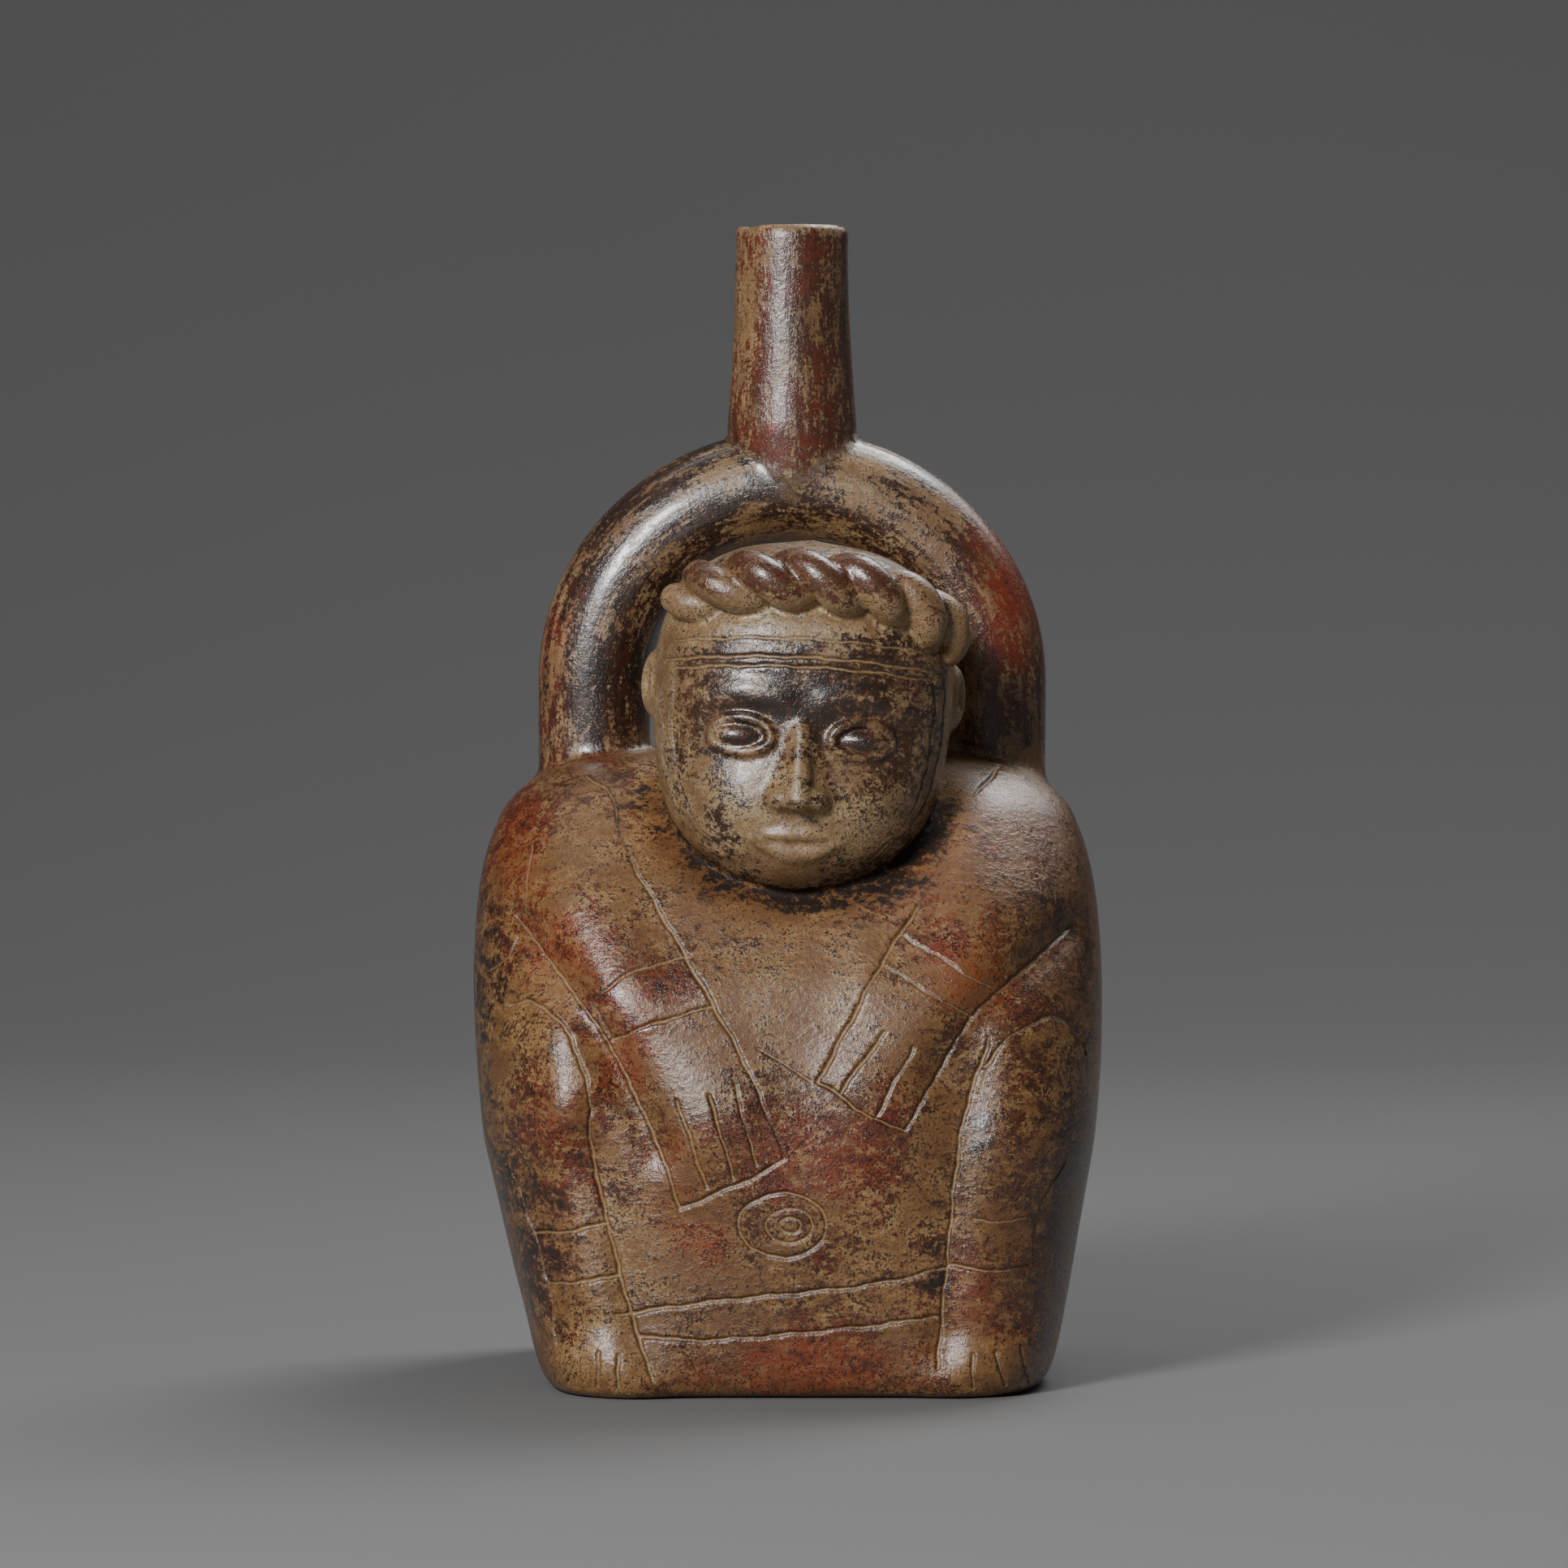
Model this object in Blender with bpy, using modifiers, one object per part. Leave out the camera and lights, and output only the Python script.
"""A fired-clay effigy vessel: a hollow seated figure with a stirrup handle and a single spout.

The figure faces -Y and the stirrup stands in a plane behind its head. The origin is on the underside,
in the middle of the vessel's length and depth. Everything is in metres, +Z up.
"""

import math

import bmesh
import bpy
from mathutils import Matrix, Vector
from mathutils.bvhtree import BVHTree

MILLIMETRE = 0.001

# Heights above the underside
BODY_HEIGHT = 0.131
STIRRUP_CENTRE_HEIGHT = 0.1435
VESSEL_HEIGHT = 0.240

# The seated body
BODY_HALF_WIDTH = 0.0653
BODY_HALF_DEPTH = 0.0600
BODY_SETBACK = 0.0027
BODY_SEGMENTS = 38
BODY_RINGS = 18
BODY_HOLLOW_SEGMENTS = 24
BODY_HOLLOW_RINGS = 12

# Each station is a height, a half width, a front depth and a back depth, as shares of the body's own sizes.
BODY_STATIONS = (
    (0.000, 0.766, 0.930, 0.930),
    (0.022, 0.812, 0.965, 0.965),
    (0.080, 0.856, 0.980, 0.985),
    (0.220, 0.915, 0.990, 1.000),
    (0.400, 0.966, 0.995, 1.000),
    (0.580, 0.997, 0.965, 1.000),
    (0.680, 0.998, 0.900, 0.985),
    (0.780, 0.980, 0.815, 0.945),
    (0.860, 0.942, 0.710, 0.870),
    (0.920, 0.880, 0.590, 0.770),
    (0.965, 0.745, 0.430, 0.620),
    (0.992, 0.480, 0.230, 0.380),
    (1.000, 0.000, 0.000, 0.000),
)
BASE_SQUARENESS = 4.6
SHOULDER_SQUARENESS = 2.5

# The head, in front of the stirrup and rolled a little to the figure's left
HEAD_HALF_WIDTH = 0.0305
HEAD_HALF_HEIGHT = 0.0366
HEAD_HALF_DEPTH = 0.0270
HEAD_CENTRE_HEIGHT = 0.1375
HEAD_OFFSET = 0.0030
HEAD_FORWARD = 0.0290
HEAD_ROLL = math.radians(3.0)
HEAD_SQUARENESS = 2.35
HEAD_SEGMENTS = 28
HEAD_RINGS = 16
HEAD_HOLLOW_SEGMENTS = 18
HEAD_HOLLOW_RINGS = 10
HEAD_STATIONS = (
    (-1.000, 0.000, 0.000, 0.000),
    (-0.940, 0.420, 0.520, 0.300),
    (-0.770, 0.700, 0.850, 0.600),
    (-0.540, 0.880, 0.980, 0.820),
    (-0.200, 0.975, 1.000, 0.970),
    (0.170, 1.000, 1.000, 1.000),
    (0.500, 0.960, 0.960, 1.000),
    (0.770, 0.790, 0.770, 0.880),
    (0.930, 0.480, 0.450, 0.580),
    (1.000, 0.000, 0.000, 0.000),
)

# The face is laid out on thirds of its height and fifths of its width.
HAIRLINE_SHARE = 0.50
FACE_HEIGHT = HEAD_HALF_HEIGHT * (1.0 + HAIRLINE_SHARE)
FACE_THIRD = FACE_HEIGHT / 3.0
FACE_FIFTH = 2.0 * HEAD_HALF_WIDTH / 5.0
BROW_HEIGHT = -HEAD_HALF_HEIGHT + 2.0 * FACE_THIRD
NOSE_BASE_HEIGHT = -HEAD_HALF_HEIGHT + FACE_THIRD
EYE_HEIGHT = BROW_HEIGHT - FACE_THIRD * 0.20
MOUTH_HEIGHT = NOSE_BASE_HEIGHT - FACE_THIRD * 0.36
NOSE_PROJECTION = 0.0075
PUPIL_PROJECTION = 0.0014
LID_RADIUS = 0.0009
LID_POINTS = 14
LIP_HALF_WIDTH = FACE_FIFTH * 0.72
LIP_SINK = 0.0006
EAR_HEIGHT = 0.0125
EAR_PROJECTION = 0.0026

# The twisted rope over the brow
ROPE_STRAND_RADIUS = 0.0035
ROPE_TWIST_RADIUS = 0.0031
ROPE_BED_RADIUS = 0.0034
ROPE_START_SHARE = 0.82
ROPE_END_SHARE = 0.66
ROPE_STRANDS = 2
ROPE_TURNS = 3.1
ROPE_PHASE = 0.1
ROPE_POINTS = 22
# Points of its centre line about the head's centre, in units of which the head is 30.5 to each side
ROPE_PATH = (
    (-25.0, -13.0, 23.5),
    (-19.0, -19.0, 26.0),
    (-10.0, -23.5, 28.0),
    (0.0, -24.5, 28.4),
    (9.0, -23.5, 27.6),
    (17.0, -20.5, 25.6),
    (23.5, -15.5, 22.5),
    (27.5, -10.5, 18.5),
    (29.0, -6.5, 14.5),
)

# The stirrup and the spout
STIRRUP_RADIUS = 0.0416
STIRRUP_TUBE_RADIUS = 0.0119
STIRRUP_BORE_RADIUS = 0.0075
STIRRUP_SETBACK = 0.0100
STIRRUP_OFFSET = 0.0010
STIRRUP_ROOT_DEPTH = 0.0120
STIRRUP_STEPS = 20
SPOUT_RIM_RADIUS = 0.0118
SPOUT_MIDDLE_RADIUS = 0.0123
SPOUT_FOOT_RADIUS = 0.0134
SPOUT_BORE_RADIUS = 0.0085
LIP_RADIUS = 0.0012
BODY_WALL = 0.0055
HEAD_WALL = 0.0050
FLOOR_THICKNESS = 0.0065

# The incised lines
GROOVE_HALF_WIDTH = 0.0009
GROOVE_STEP = 0.0085

# The figure's lines are drawn in units of which the body is 131 tall and 65.3 to each side.
LINE_UNIT_ACROSS = BODY_HALF_WIDTH / 65.3
LINE_UNIT_UP = BODY_HEIGHT / 131.0
BODY_LINES = {
    "right arm inner edge": (
        (-43.5, 127.0), (-36.0, 124.0), (-32.4, 110.0),
        (-19.0, 87.0), (-8.4, 68.0), (-0.5, 49.5),
    ),
    "right hand lower edge": ((-0.5, 49.5), (-5.4, 46.4), (-16.0, 41.5), (-21.8, 39.0)),
    "right arm outer edge": ((-55.7, 97.0), (-43.7, 82.6), (-35.6, 71.4), (-26.1, 51.5), (-21.8, 39.0)),
    "right cuff upper edge": ((-38.6, 81.7), (-30.7, 87.0), (-19.9, 89.8)),
    "right cuff lower edge": ((-35.1, 73.2), (-25.3, 77.0), (-14.9, 79.9)),
    "right first finger": ((-10.7, 64.5), (-8.6, 56.4), (-6.1, 48.1)),
    "right second finger": ((-15.8, 62.2), (-13.2, 53.6), (-10.8, 45.3)),
    "right third finger": ((-22.2, 60.9), (-19.4, 52.4), (-16.4, 43.6)),
    "right knee": ((-57.0, 79.3), (-52.2, 80.2), (-45.6, 76.1), (-41.5, 67.6), (-39.6, 60.0)),
    "right shin": ((-39.6, 60.0), (-39.4, 50.0), (-33.8, 25.4), (-29.7, 11.6), (-27.1, 4.0)),
    "right leg outer edge": ((-58.8, 50.7), (-53.9, 39.7), (-48.9, 23.8), (-47.0, 9.0)),
    "right ankle upper band": ((-51.6, 33.0), (-44.0, 34.2), (-37.1, 35.7)),
    "right ankle lower band": ((-48.4, 23.1), (-41.0, 24.0), (-34.2, 25.4)),
    "left arm inner edge": (
        (44.0, 127.0), (36.8, 119.7), (31.9, 108.3),
        (18.9, 88.1), (12.5, 76.6), (6.1, 64.8),
    ),
    "left hand lower edge": ((6.1, 64.8), (10.5, 62.0), (17.1, 57.4), (23.8, 55.0)),
    "left arm outer edge": ((58.1, 94.7), (45.6, 84.7), (37.3, 77.5), (31.0, 67.4), (23.8, 55.0)),
    "left cuff upper edge": ((23.2, 93.9), (34.3, 87.2), (41.1, 83.0)),
    "left cuff lower edge": ((19.2, 88.1), (31.0, 80.9), (37.3, 77.5)),
    "left first finger": ((19.7, 74.7), (15.1, 68.8), (10.7, 62.8)),
    "left second finger": ((25.5, 71.7), (21.4, 64.5), (17.9, 57.9)),
    "left knee": ((39.7, 67.4), (45.2, 73.4), (53.5, 77.1), (59.9, 72.5), (61.1, 69.1)),
    "left shin": ((40.9, 73.4), (35.8, 57.8), (33.7, 43.5), (32.3, 28.0), (30.4, 6.5)),
    "left ankle band": ((32.5, 27.4), (43.2, 26.0), (48.9, 26.7)),
    "belt upper edge": ((-34.8, 17.2), (-15.9, 20.0), (14.8, 23.3), (31.9, 26.7)),
    "belt lower edge": ((-29.4, 13.1), (-15.6, 12.2), (14.8, 14.9), (29.9, 16.9)),
}
TOE_LINES = {
    "right foot": ((-42.5, 10.5, -44.6), (-38.1, 10.0, -38.8), (-34.2, 9.0, -34.2)),
    "left foot": ((37.6, 9.0, 37.6), (42.4, 10.3, 44.0)),
}
TOE_LOW = 3.2
NAVEL_CENTRE = (-1.0, 35.8)
NAVEL_RINGS = ((8.9, 6.6), (2.8, 2.0))
NAVEL_POINTS = 20
HEAD_LINES = {
    "brow band upper line": ((-27.0, 14.6), (-14.0, 16.0), (0.0, 16.5), (14.0, 16.0), (27.0, 14.6)),
    "brow band lower line": ((-26.4, 10.6), (-14.0, 12.1), (0.0, 12.6), (14.0, 12.1), (26.4, 10.6)),
    "right cheek strap": ((-26.2, 9.2), (-26.6, 0.0), (-25.0, -12.0), (-21.0, -20.5)),
    "left cheek strap": ((26.2, 9.2), (26.6, 0.0), (25.0, -12.0), (21.0, -20.5)),
}
HEAD_LINE_UNIT = HEAD_HALF_WIDTH / 30.5

# Low swellings of the body: where each starts and ends, its radius and its height, all in line units
SWELLINGS = {
    "belly": ((-8.0, 58.0), (8.0, 44.0), 26.0, 2.8),
    "right forearm": ((-46.0, 100.0), (-17.0, 58.0), 12.0, 3.6),
    "left forearm": ((44.0, 96.0), (18.0, 66.0), 12.0, 3.0),
    "right knee": ((-49.5, 70.0), (-46.5, 58.0), 11.0, 6.0),
    "left knee": ((50.0, 68.0), (47.5, 56.0), 12.5, 5.2),
    "right shin": ((-46.0, 52.0), (-40.0, 14.0), 11.0, 2.6),
    "left shin": ((46.0, 52.0), (42.0, 14.0), 11.0, 2.6),
    "right foot": ((-42.0, 3.0), (-33.0, 3.0), 9.0, 3.6),
    "left foot": ((36.0, 3.0), (44.0, 3.0), 9.0, 3.2),
}
SWELLING_TURN = 0.55

CLAY_COLOUR = (0.24, 0.105, 0.045, 1.0)
CLAY_ROUGHNESS = 0.42


def clear_scene():
    """Remove whatever the file opened with."""
    for thing in list(bpy.data.objects):
        bpy.data.objects.remove(thing, do_unlink=True)


def new_collection(name):
    """Make a collection in the scene."""
    collection = bpy.data.collections.new(name)
    bpy.context.scene.collection.children.link(collection)
    return collection


def fired_clay():
    """The burnished red-brown clay of the whole vessel."""
    material = bpy.data.materials.new("burnished_fired_clay")
    material.use_nodes = True
    shader = material.node_tree.nodes["Principled BSDF"]
    shader.inputs["Base Color"].default_value = CLAY_COLOUR
    shader.inputs["Roughness"].default_value = CLAY_ROUGHNESS
    shader.inputs["Metallic"].default_value = 0.0
    return material


def smooth_points(points, steps):
    """A Catmull-Rom curve through the points, with a number of steps for each stretch."""
    vectors = [tuple(p) for p in points]
    size = len(vectors[0])
    ends = [
        tuple(2.0 * vectors[0][k] - vectors[1][k] for k in range(size)),
        tuple(2.0 * vectors[-1][k] - vectors[-2][k] for k in range(size)),
    ]
    row = [ends[0], *vectors, ends[1]]
    result = []
    for i in range(1, len(row) - 2):
        before, start, end, after = row[i - 1], row[i], row[i + 1], row[i + 2]
        for step in range(steps):
            t = step / steps
            result.append(
                tuple(
                    0.5
                    * (
                        2.0 * start[k]
                        + (end[k] - before[k]) * t
                        + (2.0 * before[k] - 5.0 * start[k] + 4.0 * end[k] - after[k]) * t**2
                        + (3.0 * start[k] - before[k] - 3.0 * end[k] + after[k]) * t**3
                    )
                    for k in range(size)
                )
            )
    result.append(vectors[-1])
    return result


def evenly_spaced(points, count):
    """The points of a curve at equal distances along it, both ends included."""
    lengths = [0.0]
    for a, b in zip(points, points[1:]):
        lengths.append(lengths[-1] + math.dist(a, b))
    result = []
    index = 0
    for step in range(count):
        target = lengths[-1] * step / (count - 1)
        while index < len(points) - 2 and lengths[index + 1] < target:
            index += 1
        stretch = lengths[index + 1] - lengths[index]
        share = (target - lengths[index]) / stretch if stretch > 0.0 else 0.0
        a, b = points[index], points[index + 1]
        result.append(tuple(a[k] + (b[k] - a[k]) * share for k in range(len(a))))
    return result


def ring_reach(direction, half_width, depth, squareness):
    """How far a superellipse ring reaches from its centre in a direction, given as its cosine and sine."""
    across = abs(direction[0]) / half_width
    along = abs(direction[1]) / depth
    return (across**squareness + along**squareness) ** (-1.0 / squareness)


def lofted_form(name, stations, sizes, rings, segments, squareness, flat_base=False):
    """A closed form with a superellipse ring at each height.

    stations are shares of sizes, which are the height, the half width and the depth, and squareness gives
    a ring's exponent from its share of the height. With flat_base the first ring closes on a flat cap.
    """
    height, half_width, depth = sizes
    profile = [
        (up * height, wide * half_width, front * depth, back * depth) for up, wide, front, back in stations
    ]
    first = 1 if flat_base else 0
    rows = evenly_spaced(smooth_points(profile, 8), rings + 1 - first)
    if flat_base:
        rows.insert(0, (rows[0][0], 0.0, 0.0, 0.0))
    mesh = bpy.data.meshes.new(name)
    form = bmesh.new()
    bmesh.ops.create_uvsphere(form, u_segments=segments, v_segments=rings, radius=1.0)
    for vertex in form.verts:
        polar = math.acos(max(-1.0, min(1.0, -vertex.co.z)))
        row = rows[round(polar / math.pi * rings)]
        up, wide, front, back = row
        flat = math.hypot(vertex.co.x, vertex.co.y)
        if wide <= 0.0 or flat < 1e-6:
            vertex.co = (0.0, 0.0, up)
            continue
        direction = (vertex.co.x / flat, vertex.co.y / flat)
        reach = ring_reach(direction, wide, front if direction[1] < 0.0 else back, squareness(up / height))
        vertex.co = (direction[0] * reach, direction[1] * reach, up)
    form.to_mesh(mesh)
    form.free()
    return mesh


def body_squareness(share):
    """Square at the base and rounder at the shoulders."""
    return BASE_SQUARENESS + (SHOULDER_SQUARENESS - BASE_SQUARENESS) * share


def head_squareness(_share):
    """The head's rings are nearly round."""
    return HEAD_SQUARENESS


def swell_body(mesh):
    """Raise the low swellings of limbs, belly and feet on the front of the body."""
    for vertex in mesh.vertices:
        if vertex.co.y > 0.0 or vertex.co.z <= 0.0 and abs(vertex.co.x) < BODY_HALF_WIDTH * 0.3:
            continue
        across = vertex.co.x / LINE_UNIT_ACROSS
        up = vertex.co.z / LINE_UNIT_UP
        outward = Vector((vertex.co.x * SWELLING_TURN, vertex.co.y, 0.0)).normalized()
        rise = 0.0
        for start, end, radius, height in SWELLINGS.values():
            run = (end[0] - start[0], end[1] - start[1])
            share = ((across - start[0]) * run[0] + (up - start[1]) * run[1]) / (run[0] ** 2 + run[1] ** 2)
            share = max(0.0, min(1.0, share))
            away = math.hypot(across - start[0] - share * run[0], up - start[1] - share * run[1])
            rise += height * LINE_UNIT_ACROSS * math.exp(-((away / radius) ** 2))
        vertex.co += outward * rise


def body_form():
    """The outside of the seated body."""
    mesh = lofted_form(
        "body_form",
        BODY_STATIONS,
        (BODY_HEIGHT, BODY_HALF_WIDTH, BODY_HALF_DEPTH),
        BODY_RINGS,
        BODY_SEGMENTS,
        body_squareness,
        flat_base=True,
    )
    swell_body(mesh)
    mesh.transform(Matrix.Translation((0.0, BODY_SETBACK, 0.0)))
    return mesh


def body_hollow():
    """The chamber inside the body, a wall's thickness within it."""
    mesh = lofted_form(
        "body_hollow",
        BODY_STATIONS,
        (
            BODY_HEIGHT - FLOOR_THICKNESS - BODY_WALL,
            BODY_HALF_WIDTH - BODY_WALL,
            BODY_HALF_DEPTH - BODY_WALL,
        ),
        BODY_HOLLOW_RINGS,
        BODY_HOLLOW_SEGMENTS,
        body_squareness,
        flat_base=True,
    )
    mesh.transform(Matrix.Translation((0.0, BODY_SETBACK, FLOOR_THICKNESS)))
    return mesh


def head_placement():
    """Where the head stands and how it rolls."""
    place = Matrix.Translation((HEAD_OFFSET, -HEAD_FORWARD, HEAD_CENTRE_HEIGHT))
    return place @ Matrix.Rotation(HEAD_ROLL, 4, "Y")


def head_form(name, wall, rings, segments):
    """The head's outside, or with a wall its hollow, about its own centre."""
    return lofted_form(
        name,
        HEAD_STATIONS,
        (HEAD_HALF_HEIGHT - wall, HEAD_HALF_WIDTH - wall, HEAD_HALF_DEPTH - wall),
        rings,
        segments,
        head_squareness,
    )


def ellipsoid(name, centre, radii, segments=14, rings=8):
    """A small rounded lump."""
    mesh = bpy.data.meshes.new(name)
    form = bmesh.new()
    bmesh.ops.create_uvsphere(form, u_segments=segments, v_segments=rings, radius=1.0)
    form.transform(Matrix.Translation(centre) @ Matrix.Diagonal((*radii, 1.0)))
    form.to_mesh(mesh)
    form.free()
    return mesh


def nose_form(face):
    """A straight nose, narrow at the bridge and widening to its wings."""
    length = BROW_HEIGHT - NOSE_BASE_HEIGHT
    mesh = ellipsoid("nose_form", (0.0, 0.0, 0.0), (1.0, 1.0, 1.0), 14, 10)
    for vertex in mesh.vertices:
        share = (1.0 - vertex.co.z) / 2.0
        wide = FACE_FIFTH * (0.16 + 0.32 * share**1.5)
        deep = NOSE_PROJECTION * (0.45 + 0.75 * share)
        up = BROW_HEIGHT - length * share
        vertex.co = (vertex.co.x * wide, face(0.0, up) + vertex.co.y * deep, up)
    return mesh


def surface_of(mesh):
    """A function that gives the depth of a mesh's front where a level ray meets it."""
    form = bmesh.new()
    form.from_mesh(mesh)
    tree = BVHTree.FromBMesh(form)
    form.free()

    def depth(across, up):
        hit = tree.ray_cast(Vector((across, -1.0, up)), Vector((0.0, 1.0, 0.0)))[0]
        return hit.y if hit else 0.0

    return depth


def tidy_mesh(mesh):
    """Weld a closed mesh's doubles and turn its faces outwards."""
    form = bmesh.new()
    form.from_mesh(mesh)
    bmesh.ops.remove_doubles(form, verts=form.verts, dist=1e-6)
    bmesh.ops.recalc_face_normals(form, faces=form.faces)
    if form.calc_volume(signed=True) < 0.0:
        bmesh.ops.reverse_faces(form, faces=form.faces)
    form.to_mesh(mesh)
    form.free()


def tube_mesh(name, points, radius, sides_level, closed=False):
    """A capped tube along points, as a mesh. A point's own share of the radius may follow its place."""
    data = bpy.data.curves.new(name, "CURVE")
    data.dimensions = "3D"
    data.bevel_depth = radius
    data.bevel_resolution = sides_level
    data.use_fill_caps = not closed
    spline = data.splines.new("POLY")
    spline.points.add(len(points) - 1)
    spline.use_cyclic_u = closed
    for target, point in zip(spline.points, points):
        target.co = (*point[:3], 1.0)
        target.radius = point[3] if len(point) > 3 else 1.0
    curve = bpy.data.objects.new(name, data)
    bpy.context.scene.collection.objects.link(curve)
    bpy.context.view_layer.update()
    graph = bpy.context.evaluated_depsgraph_get()
    mesh = bpy.data.meshes.new_from_object(curve.evaluated_get(graph))
    bpy.data.objects.remove(curve, do_unlink=True)
    tidy_mesh(mesh)
    return mesh


def rope_frames(count):
    """Points of the rope's centre line, each with its direction away from the head and across the rope."""
    drawn = smooth_points([[c * HEAD_LINE_UNIT for c in point] for point in ROPE_PATH], 8)
    line = [Vector(point) for point in evenly_spaced(drawn, count)]
    frames = []
    for index, point in enumerate(line):
        along = line[min(index + 1, count - 1)] - line[max(index - 1, 0)]
        away = Vector(
            (point.x / HEAD_HALF_WIDTH**2, point.y / HEAD_HALF_DEPTH**2, point.z / HEAD_HALF_HEIGHT**2)
        )
        sideways = along.cross(away).normalized()
        frames.append((point, sideways.cross(along).normalized(), sideways))
    return frames


def rope_bed():
    """The clay that fills between the strands and under them, so that the rope lies closed on the head."""
    points = [tuple(point - away * ROPE_TWIST_RADIUS * 0.5) for point, away, _across in rope_frames(ROPE_POINTS // 2)]
    return tube_mesh("rope_bed", points, ROPE_BED_RADIUS, 1)


def rope_strand(index):
    """One strand of the rope, wound round the line that lies on the head from temple to temple."""
    points = []
    for step, (centre, away, across) in enumerate(rope_frames(ROPE_POINTS)):
        share = step / (ROPE_POINTS - 1)
        twist = math.tau * (ROPE_TURNS * share + index / ROPE_STRANDS + ROPE_PHASE)
        place = centre + (away * math.cos(twist) + across * math.sin(twist)) * ROPE_TWIST_RADIUS
        fullness = min(1.0, ROPE_START_SHARE + 2.0 * share, ROPE_END_SHARE + 3.4 * (1.0 - share))
        points.append((*place, fullness))
    return tube_mesh(f"rope_strand_{index}", points, ROPE_STRAND_RADIUS, 2)


def stirrup_route(depth):
    """The stirrup's centre line: up one leg, round the arch and down the other."""
    low = BODY_HEIGHT - depth
    left, right = STIRRUP_OFFSET - STIRRUP_RADIUS, STIRRUP_OFFSET + STIRRUP_RADIUS
    route = [(left, STIRRUP_SETBACK, low)]
    for step in range(STIRRUP_STEPS + 1):
        turn = math.pi * step / STIRRUP_STEPS
        route.append(
            (
                STIRRUP_OFFSET - STIRRUP_RADIUS * math.cos(turn),
                STIRRUP_SETBACK,
                STIRRUP_CENTRE_HEIGHT + STIRRUP_RADIUS * math.sin(turn),
            )
        )
    route.append((right, STIRRUP_SETBACK, low))
    return route


def turned_form(name, profile, steps=24):
    """A closed turned shape about the spout's axis, from a profile of radius and height, top to bottom."""
    mesh = bpy.data.meshes.new(name)
    mesh.from_pydata([(r, 0.0, z) for r, z in profile], [(i, i + 1) for i in range(len(profile) - 1)], [])
    turned = bpy.data.objects.new(name, mesh)
    bpy.context.scene.collection.objects.link(turned)
    screw = turned.modifiers.new("turn", "SCREW")
    screw.steps = steps
    screw.render_steps = steps
    screw.use_merge_vertices = True
    screw.merge_threshold = 1e-5
    bpy.context.view_layer.update()
    graph = bpy.context.evaluated_depsgraph_get()
    result = bpy.data.meshes.new_from_object(turned.evaluated_get(graph))
    bpy.data.objects.remove(turned, do_unlink=True)
    tidy_mesh(result)
    result.transform(Matrix.Translation((STIRRUP_OFFSET, STIRRUP_SETBACK, 0.0)))
    return result


def spout_form():
    """The spout, flared where it meets the arch and rounded at its lip."""
    arch_top = STIRRUP_CENTRE_HEIGHT + STIRRUP_RADIUS
    foot = arch_top + STIRRUP_TUBE_RADIUS
    middle = (foot + VESSEL_HEIGHT) / 2.0
    profile = [
        (0.0, VESSEL_HEIGHT),
        (SPOUT_RIM_RADIUS - LIP_RADIUS, VESSEL_HEIGHT),
        (SPOUT_RIM_RADIUS - LIP_RADIUS * 0.3, VESSEL_HEIGHT - LIP_RADIUS * 0.3),
        (SPOUT_RIM_RADIUS, VESSEL_HEIGHT - LIP_RADIUS),
        (SPOUT_MIDDLE_RADIUS, middle),
        (SPOUT_FOOT_RADIUS, foot),
        (SPOUT_FOOT_RADIUS, arch_top),
        (0.0, arch_top),
    ]
    return turned_form("spout_form", profile)


def spout_bore():
    """The bore of the spout, from above the rim down into the arch."""
    arch_top = STIRRUP_CENTRE_HEIGHT + STIRRUP_RADIUS
    above = VESSEL_HEIGHT + STIRRUP_TUBE_RADIUS
    profile = [
        (0.0, above),
        (SPOUT_BORE_RADIUS, above),
        (SPOUT_BORE_RADIUS, arch_top),
        (0.0, arch_top),
    ]
    return turned_form("spout_bore", profile, 20)


def run_on(points, distance):
    """The points of a line with both its ends carried on, so that lines that meet also cross."""
    ends = []
    for end, inner in ((points[0], points[1]), (points[-1], points[-2])):
        length = math.dist(end, inner)
        ends.append(tuple(e + (e - i) * distance / length for e, i in zip(end, inner)))
    return [ends[0], *points[1:-1], ends[1]]


def line_cutter(name, points, face, closed=False):
    """A thin four-sided tube that follows a line drawn on a front surface."""
    if not closed:
        points = run_on(points, GROOVE_HALF_WIDTH)
    length = sum(math.dist(a, b) for a, b in zip(points, points[1:]))
    count = max(13 if closed else 3, round(length / GROOVE_STEP) + 1)
    route = [(x, face(x, z), z) for x, z in evenly_spaced(points, count)]
    if closed:
        route.pop()
    return tube_mesh(name, route, GROOVE_HALF_WIDTH, 0, closed)


def body_line_cutters(face):
    """The cutters of every line on the body: limbs, hands, belt, toes and navel."""
    cutters = []
    for name, points in BODY_LINES.items():
        drawn = [(x * LINE_UNIT_ACROSS, z * LINE_UNIT_UP) for x, z in smooth_points(points, 6)]
        cutters.append(line_cutter(name, drawn, face))
    for name, toes in TOE_LINES.items():
        for index, (top_across, top_up, low_across) in enumerate(toes):
            drawn = [
                (top_across * LINE_UNIT_ACROSS, top_up * LINE_UNIT_UP),
                (low_across * LINE_UNIT_ACROSS, TOE_LOW * LINE_UNIT_UP),
            ]
            cutters.append(line_cutter(f"{name} toe {index}", drawn, face))
    for index, (wide, tall) in enumerate(NAVEL_RINGS):
        drawn = []
        for step in range(NAVEL_POINTS + 1):
            turn = math.tau * step / NAVEL_POINTS
            across = NAVEL_CENTRE[0] + wide * math.cos(turn)
            up = NAVEL_CENTRE[1] + tall * math.sin(turn)
            drawn.append((across * LINE_UNIT_ACROSS, up * LINE_UNIT_UP))
        cutters.append(line_cutter(f"navel ring {index}", drawn, face, closed=True))
    return cutters


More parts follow.
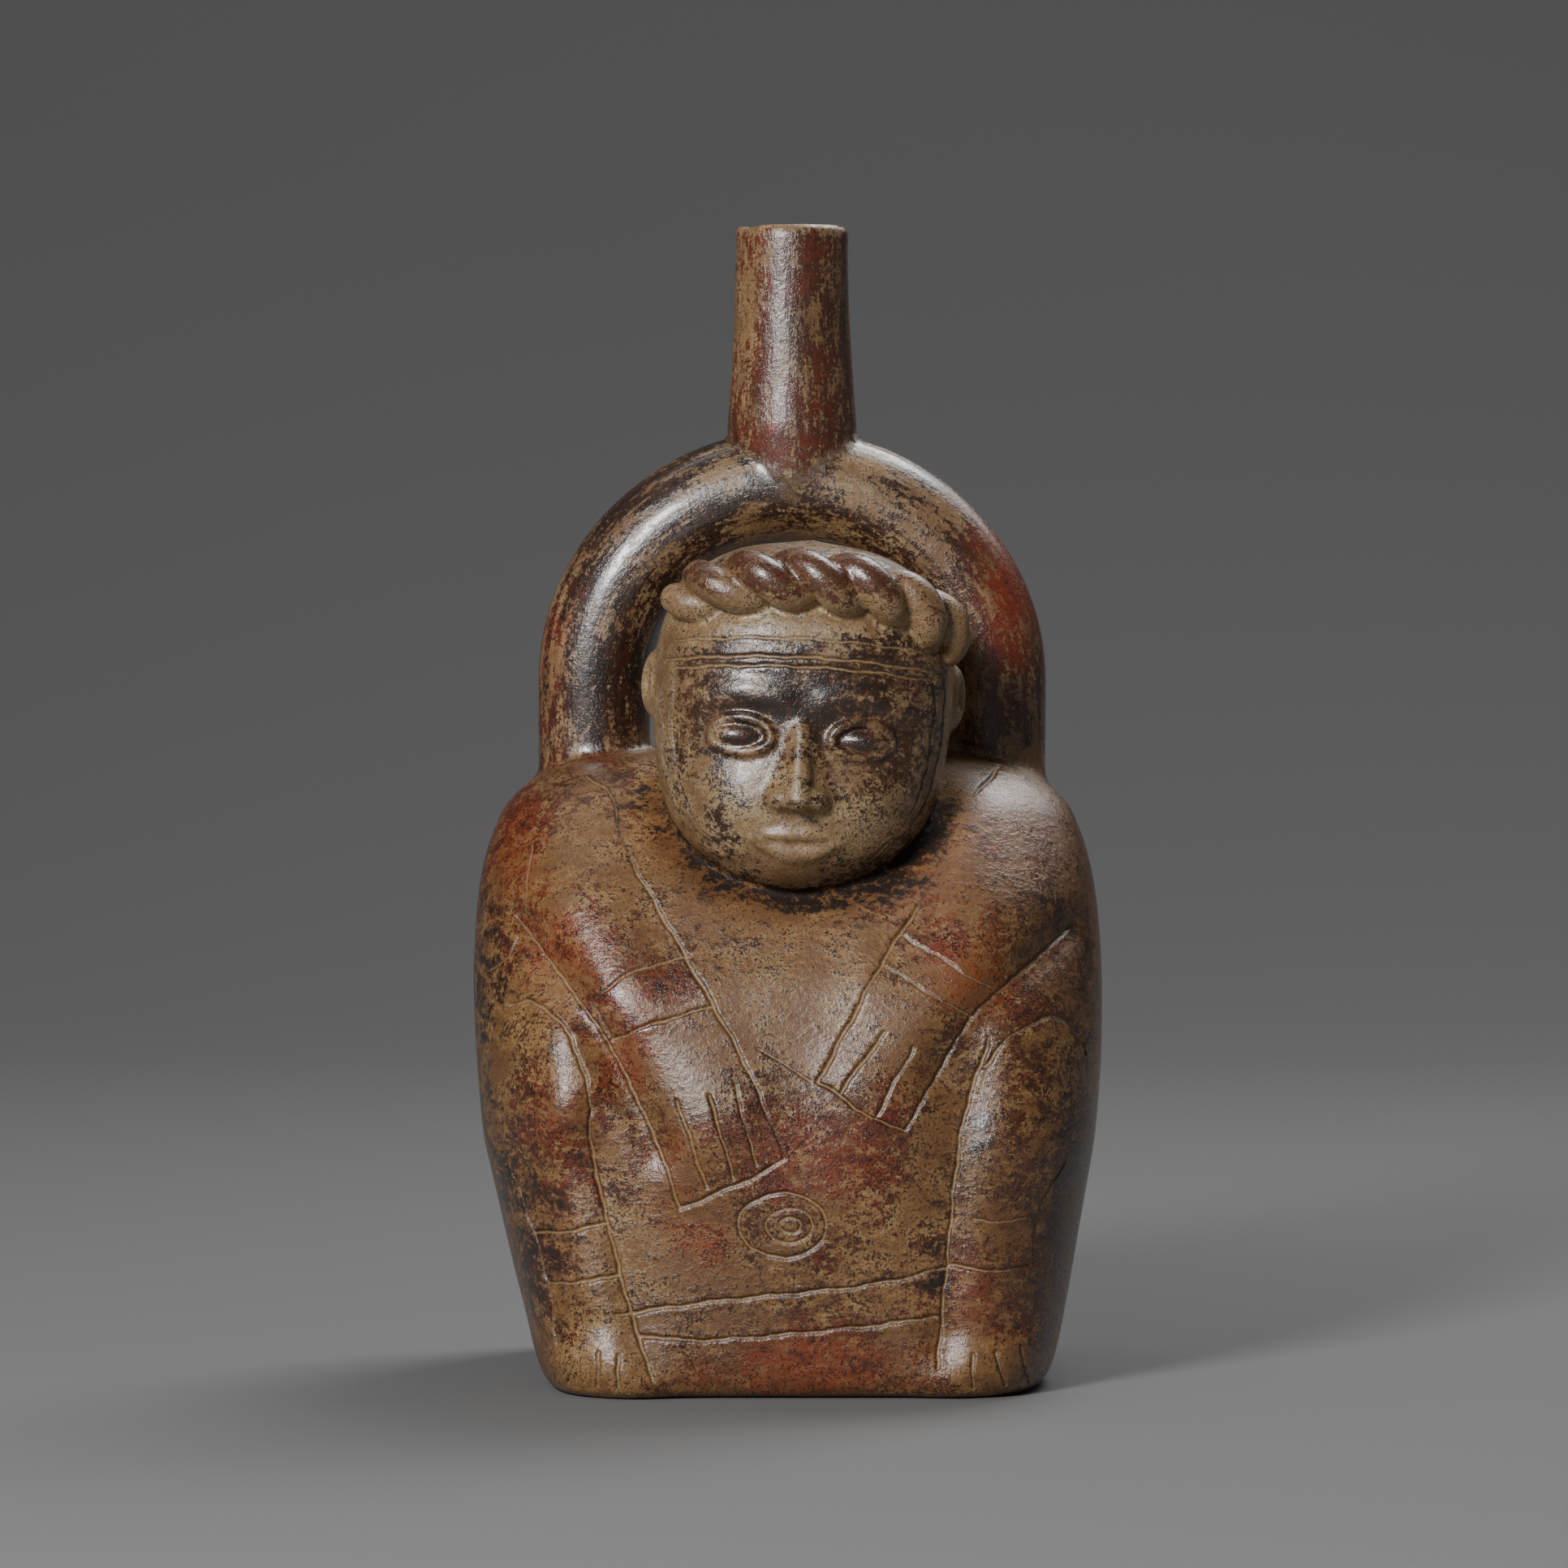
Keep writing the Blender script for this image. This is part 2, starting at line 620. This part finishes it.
def head_line_cutters(face):
    """The cutters of the brow band and the straps down the cheeks, about the head's centre."""
    cutters = []
    for name, points in HEAD_LINES.items():
        drawn = [(x * HEAD_LINE_UNIT, z * HEAD_LINE_UNIT) for x, z in smooth_points(points, 4)]
        cutters.append(line_cutter(name, drawn, face))
    return cutters


def face_features(face):
    """A plain, calm, even face: nose, almond lids, round pupils and closed lips."""
    features = [nose_form(face)]
    wing = FACE_FIFTH * 0.22
    for side in (-1, 1):
        across = side * FACE_FIFTH * 0.34
        wing_up = NOSE_BASE_HEIGHT + wing
        wing_centre = (across, face(across, wing_up), wing_up)
        features.append(ellipsoid(f"nose_wing_{side}", wing_centre, (wing, wing * 1.5, wing), 10, 6))
        eye = side * FACE_FIFTH
        lid = []
        for step in range(LID_POINTS):
            turn = math.tau * step / LID_POINTS
            x = eye + FACE_FIFTH * 0.52 * math.cos(turn)
            z = EYE_HEIGHT + FACE_FIFTH * 0.30 * math.sin(turn)
            lid.append((x, face(x, z), z))
        features.append(tube_mesh(f"lid_{side}", lid, LID_RADIUS, 1, closed=True))
        pupil = FACE_FIFTH * 0.21
        pupil_centre = (eye, face(eye, EYE_HEIGHT), EYE_HEIGHT)
        features.append(ellipsoid(f"pupil_{side}", pupil_centre, (pupil, PUPIL_PROJECTION, pupil), 12, 6))
    for side in (-1, 1):
        lip = FACE_THIRD * 0.075
        up = MOUTH_HEIGHT + side * lip
        lip_centre = (0.0, face(0.0, up) + LIP_SINK, up)
        features.append(ellipsoid(f"lip_{side}", lip_centre, (LIP_HALF_WIDTH, LIP_SINK * 3.5, lip), 16, 6))
    return features


def ears():
    """A small flat ear at each side of the head."""
    lumps = []
    for side in (-1, 1):
        centre = (side * HEAD_HALF_WIDTH, 0.0, EAR_HEIGHT * 0.45)
        radii = (EAR_PROJECTION, EAR_HEIGHT * 0.4, EAR_HEIGHT * 0.5)
        lumps.append(ellipsoid(f"ear_{side}", centre, radii, 12, 8))
    return lumps


def fine_object(name, mesh, placement):
    """An object whose mesh is in millimetres, scaled down to metres.

    The exact solver works in the mesh's own units, and lines this fine need them larger than metres.
    """
    mesh.transform(Matrix.Scale(1.0 / MILLIMETRE, 4))
    thing = bpy.data.objects.new(name, mesh)
    thing.matrix_world = placement @ Matrix.Scale(MILLIMETRE, 4)
    return thing


def helper_object(mesh, placement):
    """An object that joins or cuts and is no part of the vessel."""
    helper = fine_object(mesh.name, mesh, placement)
    helper.hide_render = True
    helper.display_type = "WIRE"
    return helper


def use_boolean(target, helper, operation):
    """Give the target an exact Boolean with a helper object."""
    boolean = target.modifiers.new(helper.name, "BOOLEAN")
    boolean.operation = operation
    boolean.solver = "EXACT"
    boolean.object = helper


def add_boolean(target, mesh, operation, helpers, placement=None):
    """Join a mesh to the target or cut it away."""
    helper = helper_object(mesh, placement or Matrix.Identity(4))
    helpers.objects.link(helper)
    use_boolean(target, helper, operation)


def incise(vessel, body_cutters, head_cutters, on_head):
    """Cut all the incised lines into the vessel at once."""
    cutters = new_collection("incised_lines")
    placed = [(mesh, Matrix.Identity(4)) for mesh in body_cutters]
    placed += [(mesh, on_head) for mesh in head_cutters]
    for mesh, placement in placed:
        cutters.objects.link(helper_object(mesh, placement))
    boolean = vessel.modifiers.new("incised_lines", "BOOLEAN")
    boolean.operation = "DIFFERENCE"
    boolean.solver = "EXACT"
    boolean.operand_type = "COLLECTION"
    boolean.collection = cutters


def effigy_vessel():
    """Build the vessel: the outer forms joined, the chamber and bores taken out, the lines incised."""
    parts = new_collection("effigy_vessel")
    helpers = new_collection("joined_and_cut_forms")
    on_head = head_placement()
    head = head_form("head_form", 0.0, HEAD_RINGS, HEAD_SEGMENTS)
    head_face = surface_of(head)
    body = body_form()
    body_face = surface_of(body)
    body.materials.append(fired_clay())
    vessel = fine_object("effigy_vessel", body, Matrix.Identity(4))
    parts.objects.link(vessel)

    add_boolean(vessel, head, "UNION", helpers, on_head)
    rope = [rope_bed(), *[rope_strand(i) for i in range(ROPE_STRANDS)]]
    for mesh in [*face_features(head_face), *ears(), *rope]:
        add_boolean(vessel, mesh, "UNION", helpers, on_head)
    outer = stirrup_route(STIRRUP_ROOT_DEPTH)
    inner = stirrup_route(STIRRUP_ROOT_DEPTH + BODY_WALL)
    add_boolean(vessel, tube_mesh("stirrup_form", outer, STIRRUP_TUBE_RADIUS, 5), "UNION", helpers)
    add_boolean(vessel, spout_form(), "UNION", helpers)

    chamber = helper_object(body_hollow(), Matrix.Identity(4))
    head_hollow = head_form("head_hollow", HEAD_WALL, HEAD_HOLLOW_RINGS, HEAD_HOLLOW_SEGMENTS)
    helpers.objects.link(chamber)
    add_boolean(chamber, head_hollow, "UNION", helpers, on_head)
    add_boolean(chamber, tube_mesh("stirrup_bore", inner, STIRRUP_BORE_RADIUS, 3), "UNION", helpers)
    add_boolean(chamber, spout_bore(), "UNION", helpers)
    use_boolean(vessel, chamber, "DIFFERENCE")
    incise(vessel, body_line_cutters(body_face), head_line_cutters(head_face), on_head)


clear_scene()
effigy_vessel()
